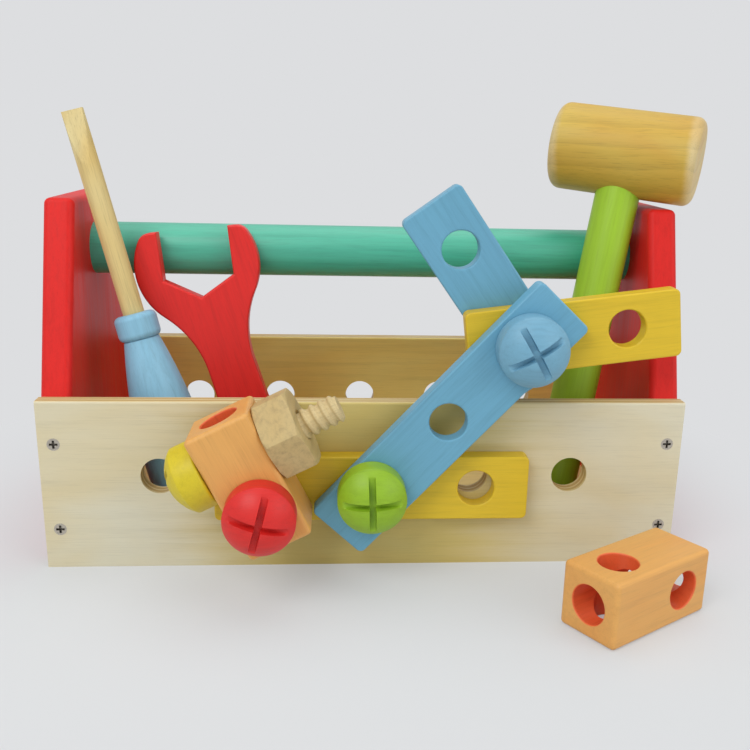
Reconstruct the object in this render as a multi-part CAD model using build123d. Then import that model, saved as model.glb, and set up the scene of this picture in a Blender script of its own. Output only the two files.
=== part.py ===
from build123d import *
from math import asin, cos, pi, radians, sin, sqrt, tan
import os

# Wooden toy tool box with a dowel handle, three tools and a set of strips, blocks, bolts and nuts.
# Millimetres. X runs along the box, +X to the right seen from the front. The front wall faces -Y.
# +Z is up. The origin is the centre of the box's underside.

# Box
box_length = 280.0
box_depth = 136.0
wall_height = 76.0
wall_thickness = 8.0
wall_edge_radius = 1.0
end_thickness = 13.0
end_top_distance = 25.0
end_top_width = 66.0
end_edge_radius = 3.0
end_corner_radius = 2.5
bottom_thickness = 6.0

# Carrying handle, a dowel seated in blind holes in both end boards
handle_diameter = 24.0
handle_axis_height = 132.0
handle_seat_depth = 6.0

# The row of bolt holes in each long wall, shared with the strips
hole_diameter = 16.0
hole_pitch = 45.0
wall_hole_count = 5
wall_hole_height = 42.6

# Steel screws through the long walls into the end boards
screw_head_diameter = 5.5
screw_head_depth = 2.4
screw_shank_diameter = 3.0
screw_length = 24.0
screw_inset = 6.5
screw_low_height = 18.0
screw_high_height = 57.0
screw_recess_width = 1.0
screw_recess_span = 3.6
screw_recess_depth = 1.2

# Screws through the end boards into the handle dowel
handle_screw_head_diameter = 7.0
handle_screw_head_depth = 3.0
handle_screw_shank_diameter = 3.5
handle_screw_length = 28.0

# Strips
strip_width = 29.0
strip_thickness = 8.0
strip_end_distance = 23.0
strip_corner_radius = 2.5
strip_edge_radius = 0.8
hole_rim_radius = 0.8

# Blocks
block_side = 28.0
block_length = 57.0
block_hole_distance = 16.0
block_edge_radius = 2.0

# Wooden bolts and nuts
shank_diameter = 12.2
shank_length = 60.0
shank_tip_chamfer = 1.2
head_diameter = 29.0
head_rim_height = 10.0
head_dome_height = 7.0
head_edge_radius = 1.0
slot_width = 2.3
slot_span = 24.0
slot_depth = 4.6
nut_across_flats = 31.5
nut_thickness = 15.0
nut_bore_clearance = 0.3
nut_chamfer = 2.0
hexagon_half_angle = 30.0
slide_gap = 0.2
seat_gap = 0.3

# How the pieces are set up on the front of the box. The bolts are slimmer than the holes, so each
# bolt hangs low in its wall hole and each strip or block hangs low on its bolt.
hang_drop = 1.6
hang_shift = 1.0
upper_bolt_drop = 0.6
upper_bolt_shift = 1.6
upper_strip_lift = 0.6
upper_strip_shift = 1.6
yellow_bolt_forward = 0.5
blue_strip_angle = 47.0
yellow_short_angle = 7.4
blue_short_angle = 125.6
block_lean_angle = 26.6
red_slot_angle = -14.0
green_slot_angle = 2.0
light_blue_slot_angle = 30.0
yellow_slot_angle = 45.0
light_blue_nut_angle = 25.0
yellow_nut_angle = -7.5

# Block that stands by itself in front of the box
loose_block_end_distance = 49.1
loose_block_reach = 77.5
loose_block_turn_angle = 33.0

# Hammer
hammer_head_diameter = 39.5
hammer_head_length = 66.0
hammer_head_edge_radius = 4.5
hammer_head_gap = 1.5
hammer_handle_diameter = 20.5
hammer_mortise_depth = 26.0
hammer_foot_radius = 3.0
hammer_lean_angle = 10.7
hammer_back_angle = 9.1
hammer_head_turn_angle = 26.0
hammer_end_distance = 16.4

# Screwdriver
driver_shaft_diameter = 9.5
driver_tip_thickness = 2.6
driver_tip_length = 24.0
driver_shaft_seat_depth = 30.0
driver_shaft_visible_length = 90.0
driver_collar_diameter = 18.8
driver_collar_height = 11.8
driver_collar_radius = 2.8
driver_neck_diameter = 15.8
driver_belly_diameter = 29.0
driver_belly_distance = 42.0
driver_end_diameter = 27.0
driver_end_radius = 7.0
driver_handle_length = 103.0
driver_lean_angle = 15.0
driver_back_angle = 6.6
driver_end_distance = 16.1
driver_lane_gap = 4.5
driver_flare_share = 0.24
driver_taper_share = 0.06

# Open-end wrench
wrench_thickness = 9.0
wrench_head_radius = 28.2
wrench_jaw_clearance = 0.5
wrench_jaw_reach = 17.0
wrench_jaw_depth = 5.0
wrench_tip_radius = 6.0
wrench_neck_width = 21.0
wrench_foot_width = 24.0
wrench_length = 125.5
wrench_neck_radius = 46.0
wrench_edge_radius = 1.0
wrench_head_offset_angle = 11.0
wrench_lean_angle = 17.5
wrench_back_angle = 2.9
wrench_end_distance = 49.7

cut_overrun = 1.0

half_length = box_length / 2
end_height = handle_axis_height + end_top_distance
half_depth = box_depth / 2
front_face = -half_depth
inner_half_length = half_length - end_thickness
inner_half_depth = half_depth - wall_thickness
hole_radius = hole_diameter / 2
nut_corner_radius = nut_across_flats / 2 / cos(radians(hexagon_half_angle))
centred_base = (Align.CENTER, Align.CENTER, Align.MIN)


def rod(diameter, length):
    # Upright cylinder that starts at the origin.
    return Cylinder(diameter / 2, length, align=centred_base)


def along(origin, direction, across=(1, 0, 0)):
    # Frame whose Z points along direction.
    return Plane(origin=origin, x_dir=across, z_dir=direction)


def wall_hole_centres():
    first = -(wall_hole_count - 1) / 2
    return [(first + number) * hole_pitch for number in range(wall_hole_count)]


def countersunk_screw(head, head_depth, shank, length):
    # Head flush at z = 0, shank along +Z.
    profile = Polyline((0, 0), (head / 2, 0), (shank / 2, head_depth), (shank / 2, length - shank),
                       (0, length), close=True)
    return revolve(Plane.XZ * make_face(profile), Axis.Z)


def cross_recess(width, span, depth):
    # Cross-shaped cutter that reaches from above z = 0 down to depth.
    arm = Box(span, width, depth + cut_overrun, align=centred_base)
    other = Box(width, span, depth + cut_overrun, align=centred_base)
    return Pos(0, 0, -cut_overrun) * (arm + other)


def wall_screw_places():
    # Each place is a point on a wall's outer face and the way that the screw points.
    places = []
    for side in (-1, 1):
        for end in (-1, 1):
            for height in (screw_low_height, screw_high_height):
                x = end * (half_length - screw_inset)
                places.append(((x, side * half_depth, height), (0, -side, 0)))
    return places


def handle_screw_places():
    return [((end * half_length, 0, handle_axis_height), (-end, 0, 0)) for end in (-1, 1)]


def make_wall_screws():
    screw = countersunk_screw(screw_head_diameter, screw_head_depth, screw_shank_diameter, screw_length)
    screw -= cross_recess(screw_recess_width, screw_recess_span, screw_recess_depth)
    return [along(point, way) * screw for point, way in wall_screw_places()]


def make_handle_screws():
    screw = countersunk_screw(handle_screw_head_diameter, handle_screw_head_depth,
                              handle_screw_shank_diameter, handle_screw_length)
    screw -= cross_recess(screw_recess_width, screw_recess_span, screw_recess_depth)
    return [along(point, way, (0, 1, 0)) * screw for point, way in handle_screw_places()]


def screw_holes():
    wall_hole = countersunk_screw(screw_head_diameter, screw_head_depth, screw_shank_diameter, screw_length)
    handle_hole = countersunk_screw(handle_screw_head_diameter, handle_screw_head_depth,
                                    handle_screw_shank_diameter, handle_screw_length)
    holes = [along(point, way) * wall_hole for point, way in wall_screw_places()]
    holes += [along(point, way, (0, 1, 0)) * handle_hole for point, way in handle_screw_places()]
    return holes


def make_wall(side):
    # Long plywood wall with its row of holes, rounded a little on its outer edges.
    centre = (0, side * (half_depth - wall_thickness / 2), 0)
    wall = Pos(*centre) * Box(box_length, wall_thickness, wall_height, align=centred_base)
    long_edges = wall.edges().filter_by(Axis.X).group_by(Axis.Z)[-1]
    wall = fillet(long_edges, wall_edge_radius)
    for x in wall_hole_centres():
        start = (x, side * (half_depth - wall_thickness) - side * cut_overrun, wall_hole_height)
        wall -= along(start, (0, side, 0)) * rod(hole_diameter, wall_thickness + 2 * cut_overrun)
    for hole in screw_holes():
        wall -= hole
    return wall


def end_outline():
    lower = inner_half_depth
    upper = end_top_width / 2
    corners = [(-lower, 0), (lower, 0), (lower, wall_height), (upper, end_height),
               (-upper, end_height), (-lower, wall_height)]
    outline = make_face(Polyline(*corners, close=True))
    top = outline.vertices().group_by(Axis.Y)[-1]
    return fillet(top, end_corner_radius)


def make_end(side):
    # Red end board: upright sides between the walls, sloping shoulders and a flat top.
    board = extrude(Plane(origin=(side * inner_half_length, 0, 0), x_dir=(0, 1, 0), z_dir=(1, 0, 0))
                    * end_outline(), side * end_thickness)
    for x in (side * inner_half_length, side * half_length):
        rim = [edge for edge in board.edges()
               if abs(edge.center().X - x) < cut_overrun and edge.center().Z > wall_height]
        board = fillet(rim, end_edge_radius)
    seat_start = (side * (inner_half_length - cut_overrun), 0, handle_axis_height)
    seat = rod(handle_diameter, handle_seat_depth + cut_overrun)
    board -= along(seat_start, (side, 0, 0), (0, 1, 0)) * seat
    for hole in screw_holes():
        board -= hole
    return board


def make_bottom():
    return Box(2 * inner_half_length, 2 * inner_half_depth, bottom_thickness, align=centred_base)


def make_handle():
    length = 2 * (inner_half_length + handle_seat_depth)
    dowel = along((-length / 2, 0, handle_axis_height), (1, 0, 0), (0, 1, 0)) * rod(handle_diameter, length)
    for hole in screw_holes():
        dowel -= hole
    return dowel


def rounded_rims(part):
    # Rounds the rim of every bolt hole where it comes out of a face.
    rims = part.edges().filter_by(GeomType.CIRCLE).filter_by(lambda edge: edge.length > pi * hole_radius)
    return fillet(rims, hole_rim_radius)


def make_strip(holes, front):
    # Flat strip along +X with its first hole over the origin and its face towards the viewer at front.
    length = (holes - 1) * hole_pitch + 2 * strip_end_distance
    outline = RectangleRounded(length, strip_width, strip_corner_radius)
    outline = Pos((length / 2 - strip_end_distance), 0) * outline
    strip = extrude(outline, strip_thickness)
    strip = fillet(strip.faces().sort_by(Axis.Z)[-1].outer_wire().edges(), strip_edge_radius)
    strip = fillet(strip.faces().sort_by(Axis.Z)[0].outer_wire().edges(), strip_edge_radius)
    bore = rod(hole_diameter, strip_thickness + 2 * cut_overrun)
    for number in range(holes):
        strip -= Pos(number * hole_pitch, 0, -cut_overrun) * bore
    strip = rounded_rims(strip)
    # Local +Z points back into the box, so local +Y points down.
    return Plane(origin=(0, front, 0), x_dir=(1, 0, 0), z_dir=(0, 1, 0)) * strip


def turned_about_y(part, angle, x, z):
    # Positive angles lift the +X end, seen from the front.
    return Pos(x, 0, z) * Rot(0, -angle, 0) * part


def block_body():
    # Block along +X, bored from end to end. The near cross hole runs along Z, the far one along Y.
    block = Pos(block_length / 2, 0, 0) * Box(block_length, block_side, block_side)
    block = fillet(block.edges(), block_edge_radius)
    reach = block_side + 2 * cut_overrun
    long_bore = rod(hole_diameter, block_length + 2 * cut_overrun)
    block -= along((-cut_overrun, 0, 0), (1, 0, 0), (0, 1, 0)) * long_bore
    block -= Pos(block_hole_distance, 0, -reach / 2) * rod(hole_diameter, reach)
    block -= along((block_length - block_hole_distance, -reach / 2, 0), (0, 1, 0)) * rod(hole_diameter, reach)
    return rounded_rims(block)


def make_bolt(slot_angle):
    # Underside of the head at z = 0, shank along +Z, domed head along -Z with a cross slot.
    radius = head_diameter / 2
    head_height = head_rim_height + head_dome_height
    rim = Line((0, 0), (radius, 0)) + Line((radius, 0), (radius, -head_rim_height))
    ball = (radius * radius + head_dome_height * head_dome_height) / (2 * head_dome_height)
    middle = asin(radius / ball) / 2
    dome = ThreePointArc((radius, -head_rim_height),
                         (ball * sin(middle), -head_height + ball - ball * cos(middle)), (0, -head_height))
    axis_line = Line((0, -head_height), (0, 0))
    head = revolve(Plane.XZ * make_face(rim + dome + axis_line), Axis.Z)
    head = fillet(head.edges().filter_by(lambda edge: abs(edge.center().Z) < cut_overrun / 2
                                         and edge.length > shank_diameter), head_edge_radius)
    # Turns are counted anticlockwise by someone who looks at the head.
    slot = Rot(0, 0, -slot_angle) * cross_recess(slot_width, slot_span, slot_depth)
    head -= Pos(0, 0, -head_height) * slot
    shank = rod(shank_diameter, shank_length)
    shank = chamfer(shank.edges().sort_by(Axis.Z)[-1], shank_tip_chamfer)
    return head + shank


def make_nut(angle):
    # Hexagon nut from z = 0 along +Z, corners turned off at both ends.
    prism = extrude(RegularPolygon(nut_corner_radius, 6), nut_thickness)
    turned = rod(2 * nut_corner_radius, nut_thickness)
    turned = chamfer(turned.edges().filter_by(GeomType.CIRCLE), nut_chamfer / 2, nut_chamfer)
    nut = prism & turned
    bore = shank_diameter + 2 * nut_bore_clearance
    nut -= Pos(0, 0, -cut_overrun) * rod(bore, nut_thickness + 2 * cut_overrun)
    return Rot(0, 0, angle) * nut


# The layers in front of the wall, from the wall forwards
yellow_long_front = front_face - strip_thickness
blue_long_front = yellow_long_front - slide_gap - strip_thickness
front_head_seat = blue_long_front - slide_gap
yellow_short_front = blue_long_front + strip_thickness + slide_gap
blue_short_front = yellow_short_front + strip_thickness + slide_gap
light_blue_nut_front = blue_short_front + strip_thickness + slide_gap
wall_nut_front = -inner_half_depth + slide_gap
block_back_reach = max(block_side / 2, head_diameter / 2 - yellow_bolt_forward)
block_centre_y = yellow_long_front - slide_gap - block_back_reach
red_head_seat = block_centre_y - block_side / 2 - slide_gap

# Bolt and hole axes on the front of the box
red_bolt_x = -hole_pitch + hang_shift
green_bolt_x = hang_shift
wall_bolt_height = wall_hole_height - hang_drop
hung_red_x = red_bolt_x + hang_shift
hung_green_x = green_bolt_x + hang_shift
hung_height = wall_bolt_height - hang_drop
blue_top_x = hung_green_x + 2 * hole_pitch * cos(radians(blue_strip_angle))
blue_top_height = hung_height + 2 * hole_pitch * sin(radians(blue_strip_angle))
upper_bolt_x = blue_top_x + upper_bolt_shift
upper_bolt_height = blue_top_height - upper_bolt_drop
upper_strip_x = upper_bolt_x - upper_strip_shift
upper_strip_height = upper_bolt_height + upper_strip_lift


def make_mounted_block():
    # Far cross hole on the red bolt, long bore pointing up and to the left.
    turn = 90 + block_lean_angle
    block = Rot(0, 0, 180) * Pos(-(block_length - block_hole_distance), 0, 0) * block_body()
    return turned_about_y(Pos(0, block_centre_y, 0) * block, turn, hung_red_x, hung_height)


def yellow_bolt_frame():
    # Frame where the yellow bolt crosses the mounted block, Z along the bolt. The bolt sits forward in
    # its loose hole, so that its head, which is wider than the block, clears the strip behind.
    span = block_length - 2 * block_hole_distance - hang_drop
    lean = radians(block_lean_angle)
    y = block_centre_y - yellow_bolt_forward
    centre = (hung_red_x - span * sin(lean), y, hung_height + span * cos(lean))
    return Plane(origin=centre, x_dir=(0, 1, 0), z_dir=(cos(lean), 0, sin(lean)))


def make_loose_block():
    block = Pos(0, block_side / 2, block_side / 2) * block_body()
    x = half_length - loose_block_end_distance
    return Pos(x, front_face - loose_block_reach, 0) * Rot(0, 0, loose_block_turn_angle) * block


def leaning_axis(lean, back, side):
    # Unit vector up a tool that leans sideways by lean and back by back.
    x = side * tan(radians(lean))
    y = tan(radians(back))
    size = sqrt(x * x + y * y + 1)
    return Vector(x / size, y / size, 1 / size)


def leaning_frame(lean, back, side, x, y, turn):
    # Frame on a leaning tool's axis at the height of the handle dowel, Z up the tool.
    up = leaning_axis(lean, back, side)
    across = Vector(cos(radians(turn)), -sin(radians(turn)), 0)
    across = (across - up * across.dot(up)).normalized()
    return Plane(origin=(x, y, handle_axis_height), x_dir=across, z_dir=up)


def rounded_reach(direction, half_height, radius, edge):
    # How far a cylinder with rounded edges reaches below its centre when its axis lies along direction.
    rise = abs(direction.Z)
    return (half_height - edge) * rise + (radius - edge) * sqrt(1 - rise * rise) + edge


def foot_height(up, radius, edge):
    # Height of the end of a round tool's axis when its rounded foot stands on the bottom board.
    return bottom_thickness + rounded_reach(up, 0, radius, edge)


def dowel_rest_y(radius, back):
    # Where the axis of a round tool that leans on the front of the dowel crosses the dowel's height.
    return -(handle_diameter / 2 + radius + seat_gap) / cos(radians(back))


def make_hammer():
    # The head just clears the top of the end board, and the handle is as long as that takes.
    rest_y = dowel_rest_y(hammer_handle_diameter / 2, hammer_back_angle)
    axis_x = inner_half_length - hammer_end_distance
    frame = leaning_frame(hammer_lean_angle, hammer_back_angle, 1, axis_x, rest_y, hammer_head_turn_angle)
    up = frame.z_dir
    head_radius = hammer_head_diameter / 2
    head_reach = rounded_reach(frame.x_dir, hammer_head_length / 2, head_radius, hammer_head_edge_radius)
    head_height = end_height + hammer_head_gap + head_reach
    foot = foot_height(up, hammer_handle_diameter / 2, hammer_foot_radius)
    mortise_end = hammer_mortise_depth - head_radius
    handle_length = (head_height - foot) / up.Z + mortise_end
    head = fillet(rod(hammer_head_diameter, hammer_head_length).edges().filter_by(GeomType.CIRCLE),
                  hammer_head_edge_radius)
    head = Rot(0, 90, 0) * Pos(0, 0, -hammer_head_length / 2) * head
    handle = Pos(0, 0, mortise_end - handle_length) * rod(hammer_handle_diameter, handle_length)
    handle = fillet(handle.edges().filter_by(GeomType.CIRCLE).sort_by(Axis.Z)[0], hammer_foot_radius)
    head -= handle
    place = frame * Pos(0, 0, (head_height - handle_axis_height) / up.Z)
    return [place * head, place * handle]


def driver_handle_face():
    # Half section from the collar's top at z = 0 downwards.
    collar = driver_collar_diameter / 2
    neck = driver_neck_diameter / 2
    belly = driver_belly_diameter / 2
    end = driver_end_diameter / 2
    foot_rise = driver_end_radius - driver_handle_length
    flare_start = -driver_collar_height
    belly_z = flare_start - driver_belly_distance
    top = Line((0, 0), (collar - driver_collar_radius, 0))
    shoulder = RadiusArc((collar - driver_collar_radius, 0), (collar, -driver_collar_radius),
                         driver_collar_radius)
    side = Line((collar, -driver_collar_radius), (collar, flare_start + driver_collar_radius))
    under = RadiusArc((collar, flare_start + driver_collar_radius),
                      (collar - driver_collar_radius, flare_start), driver_collar_radius)
    ledge = Line((collar - driver_collar_radius, flare_start), (neck, flare_start))
    flare = Spline((neck, flare_start), (belly, belly_z), (end, foot_rise),
                   tangents=((driver_flare_share, -1), (-driver_taper_share, -1)))
    close = RadiusArc((end, foot_rise), (end - driver_end_radius, -driver_handle_length), driver_end_radius)
    foot = Line((end - driver_end_radius, -driver_handle_length), (0, -driver_handle_length))
    axis_line = Line((0, -driver_handle_length), (0, 0))
    return make_face(top + shoulder + side + under + ledge + flare + close + foot + axis_line)


def make_screwdriver():
    handle = revolve(Plane.XZ * driver_handle_face(), Axis.Z)
    shaft_length = driver_shaft_visible_length + driver_shaft_seat_depth
    shaft = Pos(0, 0, -driver_shaft_seat_depth) * rod(driver_shaft_diameter, shaft_length)
    handle -= shaft
    half_tip = driver_tip_thickness / 2
    wide = driver_shaft_diameter
    for side in (-1, 1):
        wedge = Polyline((side * half_tip, driver_shaft_visible_length),
                         (side * wide / 2, driver_shaft_visible_length - driver_tip_length),
                         (side * wide, driver_shaft_visible_length - driver_tip_length),
                         (side * wide, driver_shaft_visible_length + cut_overrun),
                         (side * half_tip, driver_shaft_visible_length + cut_overrun), close=True)
        cutter = extrude(Plane.YZ * make_face(wedge), wide, both=True)
        shaft -= cutter
    # The screwdriver stands in a lane of its own in front of the wrench, its foot on the bottom board.
    axis_x = driver_end_distance - inner_half_length
    wrench_front = handle_diameter / 2 + seat_gap + wrench_thickness
    axis_y = -(wrench_front + driver_lane_gap + driver_shaft_diameter / 2)
    frame = leaning_frame(driver_lean_angle, driver_back_angle, -1, axis_x, axis_y, 0)
    up = frame.z_dir
    foot = foot_height(up, driver_end_diameter / 2, driver_end_radius)
    place = frame * Pos(0, 0, (foot - handle_axis_height) / up.Z + driver_handle_length)
    return [place * shaft, place * handle]


def wrench_outline():
    # Jaw centre at the origin, handle along -Y, jaws turned to the right by the head's offset.
    jaw_half = nut_across_flats / 2 + wrench_jaw_clearance / 2
    jaw_rise = jaw_half * tan(radians(hexagon_half_angle))
    far = 2 * wrench_head_radius
    slot = make_face(Polyline((-jaw_half, far), (-jaw_half, -wrench_jaw_depth),
                              (0, -wrench_jaw_depth - jaw_rise), (jaw_half, -wrench_jaw_depth),
                              (jaw_half, far), close=True))
    crown = Pos(0, wrench_jaw_reach + far / 2) * Rectangle(far, far)
    head = Circle(wrench_head_radius) - crown - slot
    tips = head.vertices().group_by(Axis.Y)[-1].sort_by(Axis.X)
    head = fillet([tips[0], tips[-1]], wrench_tip_radius)
    neck = wrench_neck_width / 2
    foot = wrench_foot_width / 2
    handle = make_face(Polyline((-neck, -wrench_jaw_depth - jaw_rise), (neck, -wrench_jaw_depth - jaw_rise),
                                (foot, foot - wrench_length), (-foot, foot - wrench_length), close=True))
    handle += Pos(0, foot - wrench_length) * Circle(foot)
    outline = Rot(0, 0, -wrench_head_offset_angle) * head + handle
    corners = [vertex for vertex in outline.vertices()
               if -wrench_head_radius - foot < vertex.Y < -wrench_head_radius * cos(radians(45))]
    return fillet(corners, wrench_neck_radius)


def make_wrench():
    plate = extrude(wrench_outline(), wrench_thickness)
    plate = fillet(plate.faces().sort_by(Axis.Z)[-1].outer_wire().edges(), wrench_edge_radius)
    plate = fillet(plate.faces().sort_by(Axis.Z)[0].outer_wire().edges(), wrench_edge_radius)
    plate = Rot(90, 0, 0) * plate
    # The back of the plate rests against the front of the handle dowel.
    turned = Rot(-wrench_back_angle, 0, 0) * Rot(0, -wrench_lean_angle, 0)
    rest_y = dowel_rest_y(0, wrench_back_angle)
    head_x = wrench_end_distance - inner_half_length
    head_height = bottom_thickness + wrench_length * cos(radians(wrench_lean_angle))
    head_y = rest_y + (head_height - handle_axis_height) * tan(radians(wrench_back_angle))
    plate = Pos(head_x, head_y, head_height) * turned * plate
    # It slides along its own axis until its lowest point rests on the bottom board.
    up = leaning_axis(wrench_lean_angle, wrench_back_angle, -1)
    shift = up * ((bottom_thickness - plate.bounding_box().min.Z) / up.Z)
    return Pos(shift.X, shift.Y, shift.Z) * plate


def make_parts():
    yellow_long = turned_about_y(make_strip(3, yellow_long_front), 0, hung_red_x, hung_height)
    blue_long = turned_about_y(make_strip(3, blue_long_front), blue_strip_angle, hung_green_x, hung_height)
    yellow_short = turned_about_y(make_strip(2, yellow_short_front), yellow_short_angle, upper_strip_x,
                                  upper_strip_height)
    blue_short = turned_about_y(make_strip(2, blue_short_front), blue_short_angle, upper_strip_x,
                                upper_strip_height)
    back = (0, 1, 0)
    yellow_frame = yellow_bolt_frame()
    head_seat = Pos(0, 0, -(block_side / 2 + slide_gap))
    nut_seat = Pos(0, 0, block_side / 2 + slide_gap)
    hammer_head, hammer_handle = make_hammer()
    driver_shaft, driver_handle = make_screwdriver()
    parts = {
        "left_end": make_end(-1),
        "right_end": make_end(1),
        "front_wall": make_wall(-1),
        "back_wall": make_wall(1),
        "bottom_board": make_bottom(),
        "handle_dowel": make_handle(),
        "wall_screws": make_wall_screws(),
        "handle_screws": make_handle_screws(),
        "yellow_strip_long": yellow_long,
        "blue_strip_long": blue_long,
        "yellow_strip_short": yellow_short,
        "blue_strip_short": blue_short,
        "block_mounted": make_mounted_block(),
        "block_loose": make_loose_block(),
        "bolt_red": along((red_bolt_x, red_head_seat, wall_bolt_height), back) * make_bolt(red_slot_angle),
        "bolt_green": along((green_bolt_x, front_head_seat, wall_bolt_height), back)
        * make_bolt(green_slot_angle),
        "bolt_light_blue": along((upper_bolt_x, front_head_seat, upper_bolt_height), back)
        * make_bolt(light_blue_slot_angle),
        "bolt_yellow": yellow_frame * head_seat * make_bolt(yellow_slot_angle),
        "nut_red": along((red_bolt_x, wall_nut_front, wall_bolt_height), back) * make_nut(90),
        "nut_green": along((green_bolt_x, wall_nut_front, wall_bolt_height), back) * make_nut(90),
        "nut_light_blue": along((upper_bolt_x, light_blue_nut_front, upper_bolt_height), back)
        * make_nut(light_blue_nut_angle),
        "nut_yellow": yellow_frame * nut_seat * make_nut(yellow_nut_angle),
        "hammer_head": hammer_head,
        "hammer_handle": hammer_handle,
        "screwdriver_shaft": driver_shaft,
        "screwdriver_handle": driver_handle,
        "wrench": make_wrench(),
    }
    return parts


def solids_of(piece):
    pieces = piece if isinstance(piece, list) else [piece]
    return [solid for one in pieces for solid in one.solids()]


os.makedirs("parts", exist_ok=True)
for name, piece in make_parts().items():
    solids = solids_of(piece)
    export_step(solids[0] if len(solids) == 1 else Compound(children=solids), f"parts/{name}.step")
    print(name, len(solids), "solids", round(sum(solid.volume for solid in solids)), "mm3")
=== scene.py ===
import math

import bmesh
import bpy
import numpy as np
from mathutils import Matrix, Vector


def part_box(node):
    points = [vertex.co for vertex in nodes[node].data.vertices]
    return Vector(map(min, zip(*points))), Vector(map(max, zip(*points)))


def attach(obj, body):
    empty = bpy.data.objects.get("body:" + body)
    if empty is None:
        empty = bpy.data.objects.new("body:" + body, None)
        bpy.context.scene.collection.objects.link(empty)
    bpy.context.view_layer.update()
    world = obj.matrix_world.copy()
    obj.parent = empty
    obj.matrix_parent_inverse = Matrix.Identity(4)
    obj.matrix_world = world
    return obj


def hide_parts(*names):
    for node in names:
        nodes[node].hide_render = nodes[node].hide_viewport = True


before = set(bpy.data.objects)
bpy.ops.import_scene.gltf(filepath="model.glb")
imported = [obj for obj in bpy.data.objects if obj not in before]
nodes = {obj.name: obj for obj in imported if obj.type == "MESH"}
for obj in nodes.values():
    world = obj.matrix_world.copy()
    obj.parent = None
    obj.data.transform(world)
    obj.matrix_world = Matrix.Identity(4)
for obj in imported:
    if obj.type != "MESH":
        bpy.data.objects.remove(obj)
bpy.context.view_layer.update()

mm = 0.001  # metres in a millimetre
print("frame loaded", len(nodes), "nodes")


def linear(red, green, blue):
    # Screen colour from 0 to 255 to the linear value that a shader takes.
    screen = np.array([red, green, blue]) / 255
    value = np.where(screen <= 0.04045, screen / 12.92, ((screen + 0.055) / 1.055) ** 2.4)
    return (*value.tolist(), 1.0)


def grey(level):
    return (level, level, level, 1.0)


def gridFaces(rows, columns, closed):
    # Four-sided faces between neighbours on a grid of points. A closed grid joins its last column to the
    # first one.
    row = np.arange(rows - 1)[:, None]
    column = np.arange(columns if closed else columns - 1)[None, :]
    after = (column + 1) % columns
    corners = [row * columns + column, row * columns + after, (row + 1) * columns + after,
               (row + 1) * columns + column]
    return np.stack(np.broadcast_arrays(*corners), -1).reshape(-1, 4)


joining = {"doublesWithin": 2e-6, "shortestEdge": 1e-7}  # in metres


def surfaceObject(name, patches, materials, sharpAngle):
    # Joins grids of points into one closed mesh, with its doubles merged and its faces outwards.
    # Each patch is a grid, whether its columns close, and the number of its material.
    points, faces, paints, count = [], [], [], 0
    for grid, closed, paintNumber in patches:
        rows, columns = grid.shape[:2]
        points.append(grid.reshape(-1, 3))
        faces.append(gridFaces(rows, columns, closed) + count)
        paints.append(np.full(len(faces[-1]), paintNumber))
        count += rows * columns
    mesh = bpy.data.meshes.new(name)
    mesh.from_pydata(np.concatenate(points).tolist(), [], np.concatenate(faces).tolist())
    for material in materials:
        mesh.materials.append(material)
    mesh.polygons.foreach_set("material_index", np.concatenate(paints).astype(np.int32))
    work = bmesh.new()
    work.from_mesh(mesh)
    bmesh.ops.remove_doubles(work, verts=work.verts, dist=joining["doublesWithin"])
    bmesh.ops.dissolve_degenerate(work, edges=work.edges, dist=joining["shortestEdge"])
    bmesh.ops.recalc_face_normals(work, faces=work.faces)
    work.to_mesh(mesh)
    work.free()
    mesh.shade_smooth()
    mesh.set_sharp_from_angle(angle=math.radians(sharpAngle))
    thing = bpy.data.objects.new(name, mesh)
    bpy.context.scene.collection.objects.link(thing)
    return thing


def placed(points, matrix):
    # Moves a grid of points, in millimetres, by a 4 by 4 matrix and gives metres.
    turn = np.array(matrix)
    return (points @ turn[:3, :3].T + turn[:3, 3]) * mm


def evenAngles(sides):
    # One row of angles that go once round, without the last that meets the first.
    return np.linspace(0, 2 * np.pi, sides, endpoint=False)[None, :]


def aroundAxis(radius, angle, height):
    # Points round the Z axis: X is the radius times the cosine, Y the radius times the sine, Z the height.
    return np.stack([radius * np.cos(angle), radius * np.sin(angle), height + 0 * angle], -1)


def lathe(profile, angle):
    # A profile of (radius, height) carried round the Z axis, at a list of angles.
    profile = np.array(profile, float)
    return aroundAxis(profile[:, :1], angle, profile[:, 1:])


def arcPoints(centre, radius, start, end, steps):
    # Points of an arc from one angle to another, in degrees.
    angle = np.radians(np.linspace(start, end, steps))
    return np.stack([centre[0] + radius * np.cos(angle), centre[1] + radius * np.sin(angle)], -1)


def frameMatrix(origin, alongX, alongZ):
    # Matrix of a frame with its Z along one direction and its X as near as can be to another.
    zAxis = Vector(alongZ).normalized()
    xAxis = Vector(alongX)
    xAxis = (xAxis - zAxis * xAxis.dot(zAxis)).normalized()
    yAxis = zAxis.cross(xAxis)
    matrix = Matrix((xAxis, yAxis, zAxis)).transposed().to_4x4()
    matrix.translation = Vector(origin)
    return matrix


def finishPiece(thing, body, node):
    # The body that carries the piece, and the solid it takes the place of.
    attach(thing, body)
    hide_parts(node)


# Materials

def newMaterial(name):
    # A material with its node tree and its shader.
    material = bpy.data.materials.new(name)
    material.use_nodes = True
    tree = material.node_tree
    return material, tree, tree.nodes["Principled BSDF"]


def addNode(tree, kind, values=None, **settings):
    # A node with its own settings, and with values on its sockets.
    node = tree.nodes.new(kind)
    for key, value in settings.items():
        setattr(node, key, value)
    for key, value in (values or {}).items():
        node.inputs[key].default_value = value
    return node


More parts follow.
